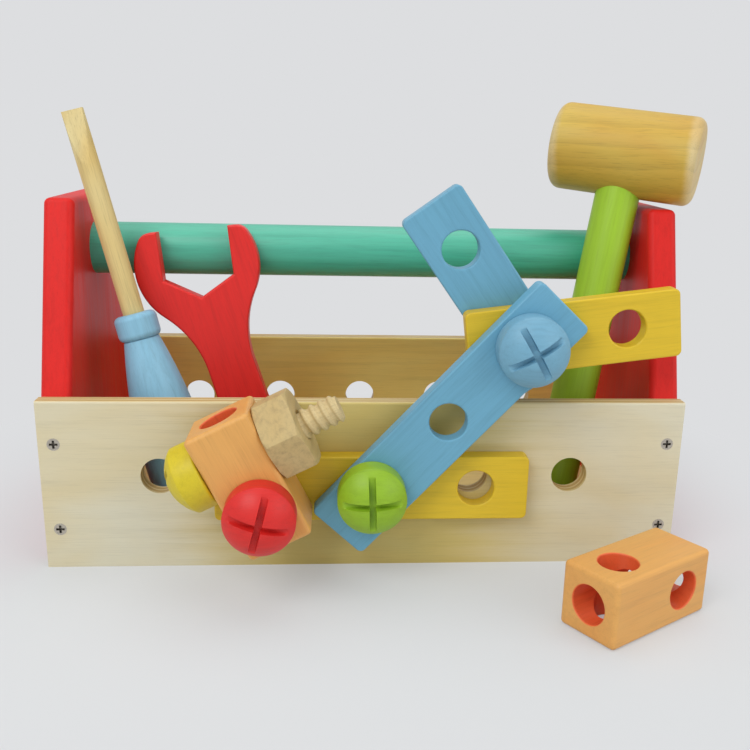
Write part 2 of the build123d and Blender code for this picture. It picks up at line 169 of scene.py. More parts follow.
def grainSpace(tree, grain, centre):
    # Object coordinates turned so that X runs along the grain and the piece's middle is at 0. The helper is
    # any direction well off the grain.
    xAxis = Vector(grain).normalized()
    helper = Vector((0, 0, 1)) if abs(xAxis.z) < 0.8 else Vector((0, 1, 0))
    yAxis = helper.cross(xAxis).normalized()
    turn = Matrix((xAxis, yAxis, xAxis.cross(yAxis)))
    coordinates = addNode(tree, "ShaderNodeTexCoord")
    mapping = addNode(tree, "ShaderNodeMapping", {"Location": -(turn @ Vector(centre)),
                                                  "Rotation": turn.to_euler("XYZ")})
    tree.links.new(coordinates.outputs["Object"], mapping.inputs["Vector"])
    return mapping.outputs["Vector"]


# Fineness of each noise, and how far it is moved so that no two are alike.
noiseKinds = {
    "streak": {"Detail": 5.0, "Roughness": 0.62, "Distortion": 0.35},
    "pore": {"Detail": 3.0, "Roughness": 0.55, "Distortion": 0.0},
    "patch": {"Detail": 2.0, "Roughness": 0.5, "Distortion": 0.6},
    "scratch": {"Detail": 3.0, "Roughness": 0.6, "Distortion": 0.0},
}
noiseShift = {"streak": 0.0, "pore": 4.0, "patch": 9.0, "scratch": 0.0}
shiftShare = (1.0, 1.7, 0.6)


def stretchedNoise(tree, vector, kind, scale, seed=0.0):
    # Noise drawn out along the grain: it is as fine along each axis as the scale says.
    shift = seed + noiseShift[kind]
    mapping = addNode(tree, "ShaderNodeMapping", {"Scale": scale,
                                                  "Location": tuple(shift * share for share in shiftShare)})
    noise = addNode(tree, "ShaderNodeTexNoise", {"Scale": 1.0, **noiseKinds[kind]})
    tree.links.new(vector, mapping.inputs["Vector"])
    tree.links.new(mapping.outputs["Vector"], noise.inputs["Vector"])
    return noise.outputs["Fac"]


def rampOf(tree, factor, stops):
    # Colour ramp with one stop for each (position, colour).
    ramp = addNode(tree, "ShaderNodeValToRGB")
    tree.links.new(factor, ramp.inputs["Fac"])
    elements = ramp.color_ramp.elements
    while len(elements) < len(stops):
        elements.new(0.5)  # set to its own place below
    for element, (position, colour) in zip(elements, stops):
        element.position = position
        element.color = colour
    return ramp.outputs["Color"]


def mathOf(tree, operation, *values):
    # One sum on sockets or numbers.
    node = addNode(tree, "ShaderNodeMath", operation=operation)
    for socket, value in zip(node.inputs, values):
        if isinstance(value, (int, float)):
            socket.default_value = value
        else:
            tree.links.new(value, socket)
    return node.outputs["Value"]


def distanceOf(tree, one, other):
    # Root of the sum of two squares.
    squares = mathOf(tree, "MULTIPLY_ADD", one, one, mathOf(tree, "MULTIPLY", other, other))
    return mathOf(tree, "SQRT", squares)


def rangeOf(tree, value, fromMin, fromMax, toMin=0.0, toMax=1.0, kind="LINEAR"):
    # Carries a value from one range to another, and stops at its ends.
    values = {"From Min": fromMin, "From Max": fromMax, "To Min": toMin, "To Max": toMax}
    node = addNode(tree, "ShaderNodeMapRange", values, interpolation_type=kind)
    tree.links.new(value, node.inputs["Value"])
    return node.outputs["Result"]


def smoothStep(tree, value, start, end):
    # Rises smoothly from 0 at start to 1 at end. The start may be the larger of the two.
    return rangeOf(tree, value, start, end, kind="SMOOTHSTEP")


def splitVector(tree, vector):
    split = addNode(tree, "ShaderNodeSeparateXYZ")
    tree.links.new(vector, split.inputs["Vector"])
    return split.outputs["X"], split.outputs["Y"], split.outputs["Z"]


# The Mix node has sockets of every kind under the same names. These are the numbers of its colour ones.
mixSockets = {"factor": 0, "first": 6, "second": 7, "result": 2}


def mixColours(tree, blend, factor, first, second):
    # Blends two colours, each a socket or a value, by a share that is one too.
    mix = addNode(tree, "ShaderNodeMix", data_type="RGBA", blend_type=blend, clamp_factor=True)
    for key, value in (("factor", factor), ("first", first), ("second", second)):
        socket = mix.inputs[mixSockets[key]]
        if isinstance(value, (float, tuple)):
            socket.default_value = value
        else:
            tree.links.new(value, socket)
    return mix.outputs[mixSockets["result"]]


def paintedLightTowardEnds(tree, space, colour, look, streaks):
    # Painted light along the grain: the colour turns to another one towards both ends, by the distance from
    # the middle along the grain, with the streaks added about their middle value, so that the border is
    # ragged.
    # On the front wall the darker golden middle is painted shade; on the hammer head the paler ends are a
    # painted highlight.
    along = mathOf(tree, "ABSOLUTE", splitVector(tree, space)[0])
    ragged = mathOf(tree, "MULTIPLY_ADD", mathOf(tree, "SUBTRACT", streaks, 0.5), look["endRagged"], along)
    return mixColours(tree, "MIX", smoothStep(tree, ragged, look["endFrom"], look["endTo"]), colour,
                      look["endColour"])


ringWaves = {"Distortion": 2.6, "Detail": 2.0, "Detail Scale": 1.4, "Detail Roughness": 0.55}
yearTone = [(0.0, 0.0), (0.7, 0.4), (0.94, 1.0), (1.0, 0.0)]  # place in the year, share of the ring's depth


def growthRings(tree, space, colour, look):
    # Rings about a pith beside the piece, drawn out along the grain, dark at the end of each year.
    stretch = addNode(tree, "ShaderNodeMapping", {"Scale": (look["ringStretch"], 1.0, 1.0),
                                                  "Location": look["pith"]})
    rings = addNode(tree, "ShaderNodeTexWave", {"Scale": look["ringScale"], **ringWaves},
                    wave_type="RINGS", rings_direction="X", wave_profile="SAW")
    tree.links.new(space, stretch.inputs["Vector"])
    tree.links.new(stretch.outputs["Vector"], rings.inputs["Vector"])
    stops = [(place, grey(1 - look["ringDepth"] * share)) for place, share in yearTone]
    return mixColours(tree, "MULTIPLY", 1.0, colour, rampOf(tree, rings.outputs["Fac"], stops))


# Share of the board's depth at which each layer starts and ends.
plyStops = [(0.0, "plyPale"), (0.19, "plyPale"), (0.2, "plyGlue"), (0.22, "plyBrown"), (0.38, "plyBrown"),
            (0.4, "plyGlue"), (0.42, "plyPale"), (0.58, "plyPale"), (0.6, "plyGlue"), (0.62, "plyBrown"),
            (0.78, "plyBrown"), (0.8, "plyGlue"), (0.82, "plyPale")]


def plyLayers(tree, colour, look):
    # On edges and in holes, where the surface doesn't face front or back, the layers show: the depth through
    # the board picks one of five, pale and brown by turns.
    coordinates = addNode(tree, "ShaderNodeTexCoord")
    facing = mathOf(tree, "ABSOLUTE", splitVector(tree, coordinates.outputs["Normal"])[1])
    depth = splitVector(tree, coordinates.outputs["Object"])[1]
    stops = [(place, look[layer]) for place, layer in plyStops]
    layers = rampOf(tree, rangeOf(tree, depth, look["plyFrom"], look["plyTo"]), stops)
    edge = smoothStep(tree, facing, look["plyFacingMost"], look["plyFacingLeast"])
    return mixColours(tree, "MIX", edge, colour, layers)


def boreWalls(tree, space, colour, look):
    # The walls of a block's three bores, one along it and one across near each end, are given a darker,
    # redder
    # orange than its faces: where the smallest distance from their axes comes near the bore's radius.
    x, y, z = splitVector(tree, space)
    low = mathOf(tree, "ADD", x, look["boreOffset"])
    high = mathOf(tree, "SUBTRACT", x, look["boreOffset"])
    across = mathOf(tree, "MINIMUM", distanceOf(tree, low, y), distanceOf(tree, high, z))
    nearest = mathOf(tree, "MINIMUM", distanceOf(tree, y, z), across)
    inside = smoothStep(tree, nearest, look["boreRadius"] + look["boreFade"][0],
                        look["boreRadius"] + look["boreFade"][1])
    return mixColours(tree, "MIX", inside, colour, look["boreColour"])


# Levels of the noises at which each tone is reached, and what they do to gloss and relief.
woodTone = {"streakDark": 0.3, "streakEven": 0.52, "streakLight": 0.75, "lightShare": 0.35,
            "patchWarm": 0.3, "patchEven": 0.7, "poreDark": 0.34, "poreEven": 0.46,
            "smoothFrom": 0.3, "roughTo": 0.7, "smoother": 0.05, "rougher": 0.07,
            "poreHeight": 0.6, "reliefHeight": 0.25 * mm}


def woodMaterial(name, look, grain, centre=(0, 0, 0)):
    # Bare or painted wood: long streaks, short pores and slow patches over the colour, and what the look asks
    # for besides: painted light towards the ends, growth rings, layers or coloured bores.
    material, tree, shader = newMaterial(name)
    space = grainSpace(tree, grain, centre)
    streaks, pores, patches = [stretchedNoise(tree, space, kind, look[kind], look["seed"])
                               for kind in ("streak", "pore", "patch")]
    colour = look["colour"]
    if "endColour" in look:
        colour = paintedLightTowardEnds(tree, space, colour, look, streaks)
    if "plyFrom" in look:
        colour = plyLayers(tree, colour, look)
    if "boreColour" in look:
        colour = boreWalls(tree, space, colour, look)
    dark, light = 1 - look["streakDepth"], 1 + look["streakDepth"] * woodTone["lightShare"]
    tone = rampOf(tree, streaks, [(woodTone["streakDark"], grey(dark)), (woodTone["streakEven"], grey(1.0)),
                                  (woodTone["streakLight"], grey(light))])
    slow = rampOf(tree, patches, [(woodTone["patchWarm"], look["warm"]), (woodTone["patchEven"], grey(1.0))])
    speckle = rampOf(tree, pores, [(woodTone["poreDark"], grey(1 - look["poreDepth"])),
                                   (woodTone["poreEven"], grey(1.0))])
    for share, layer in ((1.0, tone), (look["patchDepth"], slow), (1.0, speckle)):
        colour = mixColours(tree, "MULTIPLY", share, colour, layer)
    if "ringDepth" in look:
        colour = growthRings(tree, space, colour, look)
    tree.links.new(colour, shader.inputs["Base Color"])
    rough = rangeOf(tree, streaks, woodTone["smoothFrom"], woodTone["roughTo"],
                    look["roughness"] - woodTone["smoother"], look["roughness"] + woodTone["rougher"])
    tree.links.new(rough, shader.inputs["Roughness"])
    height = mathOf(tree, "MULTIPLY_ADD", pores, woodTone["poreHeight"], streaks)
    bump = addNode(tree, "ShaderNodeBump", {"Strength": look["bump"], "Distance": woodTone["reliefHeight"]})
    tree.links.new(height, bump.inputs["Height"])
    tree.links.new(bump.outputs["Normal"], shader.inputs["Normal"])
    shader.inputs["Coat Weight"].default_value = look["coat"]
    shader.inputs["Coat Roughness"].default_value = look["coatRoughness"]
    shader.inputs["Specular IOR Level"].default_value = look["specular"]
    return material


# Streak, pore and patch say how fine each noise is along the grain and across it, per metre.
paintedWood = {"warm": grey(0.9), "streak": (20.0, 480.0, 480.0), "pore": (90.0, 2600.0, 2600.0),
               "patch": (14.0, 30.0, 30.0), "streakDepth": 0.1, "poreDepth": 0.07, "patchDepth": 0.7,
               "roughness": 0.44, "bump": 0.18, "coat": 0.1, "coatRoughness": 0.3, "specular": 0.3}
sandedWood = {"warm": linear(252, 236, 210), "streak": (16.0, 430.0, 430.0), "pore": (70.0, 2200.0, 2200.0),
              "patch": (14.0, 30.0, 30.0), "streakDepth": 0.17, "poreDepth": 0.16, "patchDepth": 0.8,
              "roughness": 0.55, "bump": 0.3, "coat": 0.03, "coatRoughness": 0.4, "specular": 0.3}


def paint(colour, seed=0.0, **changes):
    # Look of painted wood: the grain only just shows through the lacquer.
    return {**paintedWood, "colour": linear(*colour), "seed": seed, **changes}


def bare(colour, seed=0.0, **changes):
    # Look of sanded bare wood.
    return {**sandedWood, "colour": linear(*colour), "seed": seed, **changes}


def dress(node, material):
    # Gives a carried-over solid its material in every slot.
    thing = nodes[node]
    if not thing.material_slots:
        thing.data.materials.append(material)
    for place in thing.material_slots:
        place.material = material


def middle(node):
    # Centre of a solid's box.
    low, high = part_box(node)
    return tuple((low[i] + high[i]) / 2 for i in range(3))


def slanted(angle):
    # Direction in the plane of the front wall, turned up from +X by an angle in degrees.
    return (math.cos(math.radians(angle)), 0, math.sin(math.radians(angle)))


def level(angle):
    # Direction in the plane of the floor, turned back from +X by an angle in degrees.
    return (math.cos(math.radians(angle)), math.sin(math.radians(angle)), 0)


# Box

boxLook = {
    # The front wall's golden middle is painted shade and yellow light reflected from the strips; it turns
    # paler towards both ends.
    "frontWall": bare((206, 190, 122), 2.0, streakDepth=0.05, poreDepth=0.06, streak=(5.0, 240.0, 240.0),
                      warm=linear(252, 240, 214), endColour=linear(216, 211, 188), endFrom=0.03, endTo=0.092,
                      endRagged=0.045),
    # The back wall is more golden than the front wall: painted warm shade of the box's inside.
    "backWall": bare((238, 218, 134), 3.5, streakDepth=0.12, poreDepth=0.08, streak=(7.0, 240.0, 240.0)),
    "bottom": bare((216, 200, 142), 4.2, streakDepth=0.12),
    "red": paint((222, 42, 38), 5.0, specular=0.15, coat=0.0),
    "dowel": paint((66, 180, 150), 23.0, streakDepth=0.16, poreDepth=0.12, coat=0.5, coatRoughness=0.4,
                   specular=0.55, roughness=0.46),
    "layers": {"plyPale": linear(218, 204, 160), "plyBrown": linear(194, 166, 112),
               "plyGlue": linear(156, 122, 76), "plyFacingMost": 0.6, "plyFacingLeast": 0.25},
    "wallFaces": {"front_wall": (-68.0 * mm, -60.0 * mm), "back_wall": (60.0 * mm, 68.0 * mm)},
}
for node, look in (("front_wall", "frontWall"), ("back_wall", "backWall")):
    near, far = boxLook["wallFaces"][node]
    wallLook = {**boxLook[look], **boxLook["layers"], "plyFrom": near, "plyTo": far}
    dress(node, woodMaterial(node, wallLook, (1, 0, 0), middle(node)))
dress("bottom_board", woodMaterial("bottomBoard", boxLook["bottom"], (1, 0, 0), middle("bottom_board")))
for number, node in enumerate(("left_end", "right_end")):
    endLook = {**boxLook["red"], "seed": boxLook["red"]["seed"] + number}
    dress(node, woodMaterial(node, endLook, (0, 0, 1), middle(node)))
dress("handle_dowel", woodMaterial("handleDowel", boxLook["dowel"], (1, 0, 0), middle("handle_dowel")))

# The recess colour is painted shade that darkens the driver's recess in the screw heads.
screwLook = {"dark": linear(158, 152, 142), "light": linear(218, 210, 196), "darkAt": 0.3, "lightAt": 0.7,
             "recess": grey(0.22), "recessFrom": 0.3 * mm, "recessTo": 0.9 * mm,
             "scratch": (2500.0, 2500.0, 2500.0), "smoothest": 0.3, "roughest": 0.46}
# The axis that each set of screws points along, and how far out its heads' faces are.
screwPlace = {
    "wall_screws": {"name": "wallScrewSteel", "axis": 1, "face": 68.0 * mm},
    "handle_screws": {"name": "handleScrewSteel", "axis": 0, "face": 140.0 * mm},
}


def screwSteel(look, place):
    # Brushed steel with painted shade in the driver's recess: darker by how far a point lies below the head's
    # face along one axis.
    material, tree, shader = newMaterial(place["name"])
    space = addNode(tree, "ShaderNodeTexCoord").outputs["Object"]
    scratch = stretchedNoise(tree, space, "scratch", look["scratch"])
    colour = rampOf(tree, scratch, [(look["darkAt"], look["dark"]), (look["lightAt"], look["light"])])
    along = mathOf(tree, "ABSOLUTE", splitVector(tree, space)[place["axis"]])
    below = smoothStep(tree, along, place["face"] - look["recessFrom"], place["face"] - look["recessTo"])
    colour = mixColours(tree, "MULTIPLY", below, colour, look["recess"])
    tree.links.new(colour, shader.inputs["Base Color"])
    tree.links.new(rangeOf(tree, scratch, 0.0, 1.0, look["smoothest"], look["roughest"]),
                   shader.inputs["Roughness"])
    shader.inputs["Metallic"].default_value = 1.0
    return material


for node, place in screwPlace.items():
    dress(node, screwSteel(screwLook, place))
print("box dressed")

# Strips

stripPlace = {
    "yellow_strip_long": {"look": "yellow", "angle": 0.0, "seed": 30.0},
    "blue_strip_long": {"look": "blue", "angle": 47.0, "seed": 33.0},
    "yellow_strip_short": {"look": "yellow", "angle": 7.4, "seed": 36.0},
    "blue_strip_short": {"look": "blue", "angle": 125.6, "seed": 39.0},
}
stripLook = {"yellow": paint((221, 187, 44)), "blue": paint((108, 168, 196))}
for node, place in stripPlace.items():
    look = {**stripLook[place["look"]], "seed": place["seed"]}
    dress(node, woodMaterial(node, look, slanted(place["angle"]), middle(node)))

# Blocks

blockLook = paint((224, 172, 98), streakDepth=0.08, warm=linear(252, 228, 206),
                  boreColour=linear(232, 108, 64), boreRadius=8.0 * mm, boreOffset=12.5 * mm,
                  boreFade=(0.7 * mm, 0.1 * mm))
blockPlace = {
    "block_mounted": {"grain": slanted(116.6), "seed": 14.0},
    "block_loose": {"grain": level(33), "seed": 19.0},
}
for node, place in blockPlace.items():
    dress(node, woodMaterial(node, {**blockLook, "seed": place["seed"]}, place["grain"], middle(node)))
print("strips and blocks dressed")

# Hammer, screwdriver and wrench

hammerShape = {"lean": 10.7, "back": 9.1, "headTurn": 26.0}
hammerLook = {
    # The paler colour towards both ends of the head is a painted highlight on its rounded end edges.
    "head": bare((206, 178, 80), 43.0, streakDepth=0.06, ringDepth=0.13, ringScale=34.0, ringStretch=0.3,
                 pith=(0.0, 0.012, -0.03), endColour=linear(218, 200, 148), endFrom=27.5 * mm,
                 endTo=31.0 * mm, endRagged=0.002, specular=0.4, roughness=0.48, warm=linear(250, 224, 176)),
    "handle": paint((160, 202, 50), 46.0),
}
driverShape = {"lean": 15.0, "back": 6.6}
driverLook = {
    "shaft": bare((218, 204, 152), 49.0, warm=linear(246, 216, 150), patchDepth=1.0, specular=0.35),
    "handle": paint((138, 190, 216), 52.0, streakDepth=0.14),
}
wrenchShape = {"rise": 107.5}
wrenchLook = paint((226, 42, 38), 55.0, streakDepth=0.12)


def leaningUp(shape, side):
    # Direction up a tool that leans sideways and back by two angles.
    return Vector((side * math.tan(math.radians(shape["lean"])), math.tan(math.radians(shape["back"])), 1))


toolPlace = {
    "hammer_head": (hammerLook["head"], level(-hammerShape["headTurn"])),
    "hammer_handle": (hammerLook["handle"], leaningUp(hammerShape, 1)),
    "screwdriver_shaft": (driverLook["shaft"], leaningUp(driverShape, -1)),
    "screwdriver_handle": (driverLook["handle"], leaningUp(driverShape, -1)),
    "wrench": (wrenchLook, slanted(wrenchShape["rise"])),
}
for node, (look, grain) in toolPlace.items():
    dress(node, woodMaterial(node, look, grain, middle(node)))
print("tools dressed")

# Bolts and nuts

boltLook = {
    "red": paint((218, 42, 38), 60.0),
    "lime": paint((144, 184, 40), 62.0),
    "lightBlue": paint((116, 168, 194), 64.0),
    "yellow": paint((214, 194, 40), 66.0),
    "shank": bare((208, 190, 144), 26.0),
    "nut": bare((193, 172, 122), 28.0, streakDepth=0.2, poreDepth=0.07, pore=(300.0, 1500.0, 1500.0)),
}
boltShape = {"headRadius": 14.5, "rim": 10.0, "dome": 7.0, "edge": 1.0, "lip": 0.2, "slotWidth": 2.6,
             "slotDepth": 4.6, "slotEdge": 0.16, "crest": 6.1, "root": 5.0, "length": 60.0, "pitch": 4.0,
             "ridge": 0.72, "neck": 2.0, "fadeLength": 2.0, "tipChamfer": 1.2, "sharpAngle": 42}
# How many rows or columns of points go over each part of the bolt.
boltGrid = {"headRows": 26, "headColumns": 22, "edgeRows": 7, "endRings": 7, "rowsPerPitch": 12, "sides": 72}
# The steps from the dome down to the rim, as shares of the lip inwards and down.
lipSteps = ((1.0, 0.0), (0.25, 1.0), (0.0, 3.0))
nutShape = {"flats": 31.5, "thickness": 15.0, "cone": 2.0, "coneHeight": 1.1, "edge": 0.35, "cornerPower": 70,
            "flatAngles": (30, 90, 150), "clearance": 0.3, "mouth": 6.9, "sharpAngle": 32}
# The rows' distances from the nut's ends, and how many rings and rows go over its faces and bore.
nutGrid = {"fromEnd": (0, 0.04, 0.12, 0.25, 0.4, 0.5, 0.8, 1.1, 1.6, 3.5), "faceRings": 7,
           "rowsPerPitch": 14, "sides": 144}


def domeRadius(shape):
    # The dome starts a lip's width inside the head's side.
    return shape["headRadius"] - shape["lip"]


def easedOut(steps):
    # Shares from just above 0 to 1 that crowd together towards 1, as the sine of a quarter turn does.
    return np.sin(np.linspace(0, np.pi / 2, steps)[1:])


def boltHeadRows(shape):
    # Rows across the head: three at each edge of the cut, the others spread so that they meet the rim evenly.
    radius, half, soft = domeRadius(shape), shape["slotWidth"] / 2, shape["slotEdge"]
    near = np.array([-half - soft, -half, -half + soft, 0, half - soft, half, half + soft])
    far = half + soft + (radius - half - soft) * easedOut(boltGrid["headRows"])
    return np.concatenate([-far[::-1], near, far])


def boltHeadTop(shape):
    # Domed top with its saw-cut cross: the height is the lower of a ball's cap and the cut's floor. Rows keep
    # their distance from the middle, columns follow the cut near it and spread out to the rim.
    radius, dome = domeRadius(shape), shape["dome"]
    ball = (radius ** 2 + dome ** 2) / (2 * dome)
    half, soft = shape["slotWidth"] / 2, shape["slotEdge"]
    rows = boltHeadRows(shape)
    reach = np.sqrt(np.maximum(radius ** 2 - rows ** 2, 0))
    inner = np.minimum(half + soft, reach)[:, None]
    step = np.array([half, half - soft, 0]) / (half + soft)
    far = 1 + easedOut(boltGrid["headColumns"])
    spread = np.concatenate([-far[::-1], [-1], -step[:2], [0], step[1::-1], [1], far])
    side = np.clip(spread, -1, 1)[None, :]
    rest = (spread - np.clip(spread, -1, 1))[None, :]
    x = side * inner + rest * (reach[:, None] - inner)
    y = rows[:, None] + 0 * x
    cap = np.sqrt(np.maximum(ball ** 2 - x ** 2 - y ** 2, 0)) - (ball - dome)
    cut = np.maximum(np.clip((half + soft / 2 - np.abs(x)) / soft, 0, 1),
                     np.clip((half + soft / 2 - np.abs(y)) / soft, 0, 1))
    height = cap - cut * np.maximum(cap - (dome - shape["slotDepth"]), 0)
    return np.stack([x, y, -(shape["rim"] + height)], -1)


def boltHeadSide(shape):
    # Rim, rounded lower edge and underside of the head, on the angles at which the top's rows meet the rim.
    radius, edge, rim, lip = shape["headRadius"], shape["edge"], shape["rim"], shape["lip"]
    rows = boltHeadRows(shape)
    across = np.sqrt(np.maximum(domeRadius(shape) ** 2 - rows ** 2, 0))
    angle = np.concatenate([np.arctan2(rows, across), np.arctan2(rows, -across)[::-1][1:-1]])
    upper = [(radius - lip * inwards, -rim + lip * down) for inwards, down in lipSteps]
    lower = arcPoints((radius - edge, -edge), edge, 0, 90, boltGrid["edgeRows"])
    return lathe(np.concatenate([upper, lower, [(0, 0)]]), angle)


def threadRadius(height, angle, shape):
    # The radius rises and falls once per pitch along a right-hand helix: the cosine of the turn, cut off flat
    # at the root and at the crest.
    turn = height / shape["pitch"] - angle / (2 * np.pi)
    wave = np.clip(0.5 + shape["ridge"] * np.cos(2 * np.pi * turn), 0, 1)
    return shape["root"] + (shape["crest"] - shape["root"]) * wave


def shrunkRings(ring, shares):
    # Copies of a ring of points, each drawn in to its share of the distance from the axis.
    return ring * np.array([1, 1, 0]) * shares + ring * np.array([0, 0, 1])


def threadedShank(shape):
    # The thread fades out at the neck, the tip is bevelled, and both ends are closed towards the axis.
    length, crest = shape["length"], shape["crest"]
    angle = evenAngles(boltGrid["sides"])
    height = np.linspace(0, length, int(length / shape["pitch"] * boltGrid["rowsPerPitch"]) + 1)[:, None]
    fade = np.clip((height - shape["neck"]) / shape["fadeLength"], 0, 1)
    bevel = np.clip(shape["tipChamfer"] - (length - height), 0, None)
    radius = np.minimum(crest - (crest - threadRadius(height, angle, shape)) * fade, crest - bevel)
    wall = aroundAxis(radius, angle, height)
    shares = np.linspace(0, 1, boltGrid["endRings"])[:-1, None, None]
    first, last = wall[:1].copy(), wall[-1:]
    first[..., 2] = -shape["edge"]
    return np.concatenate([shrunkRings(first, shares), first, wall, shrunkRings(last, shares[::-1])])


def hexagonReach(angle, corner, shape):
    # Distance from the axis to the hexagon: half the flats over the power mean of three cosines, whose high
    # power rounds the corners a little.
    sides = np.abs(np.cos(angle[..., None] - math.radians(corner) - np.radians(shape["flatAngles"])))
    power = shape["cornerPower"]
    return shape["flats"] / 2 / (sides ** power).sum(-1) ** (1 / power)


def threadedNut(shape, thread, start, corner):
    # One closed band: out across an end, over the side, in across the other end and back through the bore.
    # The side is the lesser of the hexagon, rounded at its ends, and of the cone that turns off its corners.
    # The bore is the bolt's thread with its clearance, or where that is more the bevel at either mouth.
    thick, edge, mouth = shape["thickness"], shape["edge"], shape["mouth"]
    angle = evenAngles(nutGrid["sides"])
    low = np.array(nutGrid["fromEnd"])
    height = np.concatenate([low, [thick / 2], thick - low[::-1]])[:, None]
    fromEnd = np.minimum(height, thick - height)
    inset = edge - np.sqrt(edge ** 2 - np.maximum(edge - fromEnd, 0) ** 2)
    cone = shape["flats"] / np.sqrt(3) - shape["cone"] * np.maximum(1 - fromEnd / shape["coneHeight"], 0)
    side = np.minimum(hexagonReach(angle, corner, shape) - inset, cone)
    share = np.linspace(0, 1, nutGrid["faceRings"])[:, None]
    face = mouth + (side[:1] - mouth) * share
    rise = np.linspace(0, thick, int(thick / thread["pitch"] * nutGrid["rowsPerPitch"]) + 1)[:, None]
    bore = threadRadius(start + rise, angle, thread) + shape["clearance"]
    bore = np.maximum(bore, mouth - np.minimum(rise, thick - rise))
    radius = np.concatenate([face, side, face[::-1], bore[::-1]])
    along = np.concatenate([0 * share, height, thick + 0 * share, rise[::-1]]) + start
    return aroundAxis(radius, angle, along)


def makeBolt(name, place):
    # Head painted, shank and nut bare. Local Z points down the shank, and turns are counted on the head.
    matrix = frameMatrix(place["origin"], place["across"], place["along"])
    turned = matrix @ Matrix.Rotation(math.radians(-place["turn"]), 4, "Z")
    centre = Vector(place["origin"]) * mm
    head = woodMaterial("bolt" + name, boltLook[place["look"]], place["across"], centre)
    shank = woodMaterial("shank" + name, boltLook["shank"], place["along"], centre)
    patches = [(placed(boltHeadTop(boltShape), turned), False, 0),
               (placed(boltHeadSide(boltShape), turned), True, 0),
               (placed(threadedShank(boltShape), turned), True, 1)]
    bolt = surfaceObject(f"bolt_{name}_turned", patches, [head, shank], boltShape["sharpAngle"])
    finishPiece(bolt, f"bolt_{name}", f"bolt_{name}")
    nutLook = {**boltLook["nut"], "seed": place["nutStart"]}
    nutWood = woodMaterial("nut" + name, nutLook, place["across"], centre)
    band = threadedNut(nutShape, boltShape, place["nutStart"], place["nutAngle"] + place["turn"])
    nut = surfaceObject(f"nut_{name}_threaded", [(placed(band, turned), True, 0)], [nutWood],
                        nutShape["sharpAngle"])
    finishPiece(nut, f"nut_{name}", f"nut_{name}")


# A bolt's origin is the middle of its head's underside. The yellow bolt goes across the mounted block, its
# head half the block's side and a sliding gap away from the block's middle.
throughWall = {"along": (0, 1, 0), "across": (1, 0, 0)}
blockAcross = slanted(26.6)
blockBore = {"middle": (-53.48, -90.7, 60.32), "toHead": 14.0 + 0.2}
yellowSeat = Vector(blockBore["middle"]) - Vector(blockAcross) * blockBore["toHead"]
boltPlace = {
    "red": {**throughWall, "origin": (-44.0, -104.4, 41.0), "turn": -14.0, "look": "red",
            "slot": "red_wood", "nutStart": 44.6, "nutAngle": 90.0},
    "green": {**throughWall, "origin": (1.0, -84.4, 41.0), "turn": 2.0, "look": "lime",
              "slot": "lime_wood", "nutStart": 24.6, "nutAngle": 90.0},
    "light_blue": {**throughWall, "origin": (64.98, -84.4, 104.62), "turn": 30.0, "look": "lightBlue",
                   "slot": "light_blue_wood", "nutStart": 24.8, "nutAngle": 25.0},
    "yellow": {"along": blockAcross, "across": (0, 1, 0), "origin": yellowSeat, "turn": 45.0,
               "look": "yellow", "slot": "yellow_wood", "nutStart": 28.4, "nutAngle": -7.5},
}
for name, place in boltPlace.items():
    makeBolt(name, place)
print("bolts and nuts made", 2 * len(boltPlace))

# Floor

floorShape = {"depth": 2.4, "width": 4.0, "near": -1.4, "curve": 0.5, "height": 2.2, "flatRows": 12,
              "curveRows": 24, "upperRows": 6, "columns": 9, "sharpAngle": 60}


def sweptFloor(shape):
    # Flat floor that curves up behind the object, by a quarter circle, into an upright backdrop.
    bend, curve = shape["depth"] - shape["curve"], shape["curve"]
    flat = np.linspace(shape["near"], bend, shape["flatRows"])
    angle = np.linspace(0, np.pi / 2, shape["curveRows"])[1:]
    y = np.concatenate([flat, bend + curve * np.sin(angle), np.full(shape["upperRows"], shape["depth"])])
    z = np.concatenate([0 * flat, curve * (1 - np.cos(angle)),
                        np.linspace(curve, shape["height"], shape["upperRows"] + 1)[1:]])
    x = np.linspace(-shape["width"] / 2, shape["width"] / 2, shape["columns"])
    return np.stack(np.broadcast_arrays(x[None, :], y[:, None], z[:, None]), -1)


# Middle and half are the object's footprint. From its border on, the even ground gains from least to whole.
floorLook = {"near": linear(214, 217, 219), "far": linear(221, 222, 224), "roughness": 0.85, "specular": 0.1,
             "middle": (0.0, -0.04), "half": (0.125, 0.11), "from": 0.0, "to": 0.12, "least": 0.35}


def seenRays(tree):
    # 1 for what the camera sees, by itself, in gloss or through clear things, and 0 for light on the object.
    ray = addNode(tree, "ShaderNodeLightPath").outputs
    indirect = mathOf(tree, "MAXIMUM", ray["Is Glossy Ray"], ray["Is Transmission Ray"])
    return mathOf(tree, "MAXIMUM", ray["Is Camera Ray"], indirect)


def mixedSurface(tree, share, first, second, output):
    # Puts a mix of two shaders on the surface.
    mix = addNode(tree, "ShaderNodeMixShader")
    tree.links.new(share, mix.inputs["Fac"])
    tree.links.new(first, mix.inputs[1])
    tree.links.new(second, mix.inputs[2])
    tree.links.new(mix.outputs["Shader"], tree.nodes[output].inputs["Surface"])


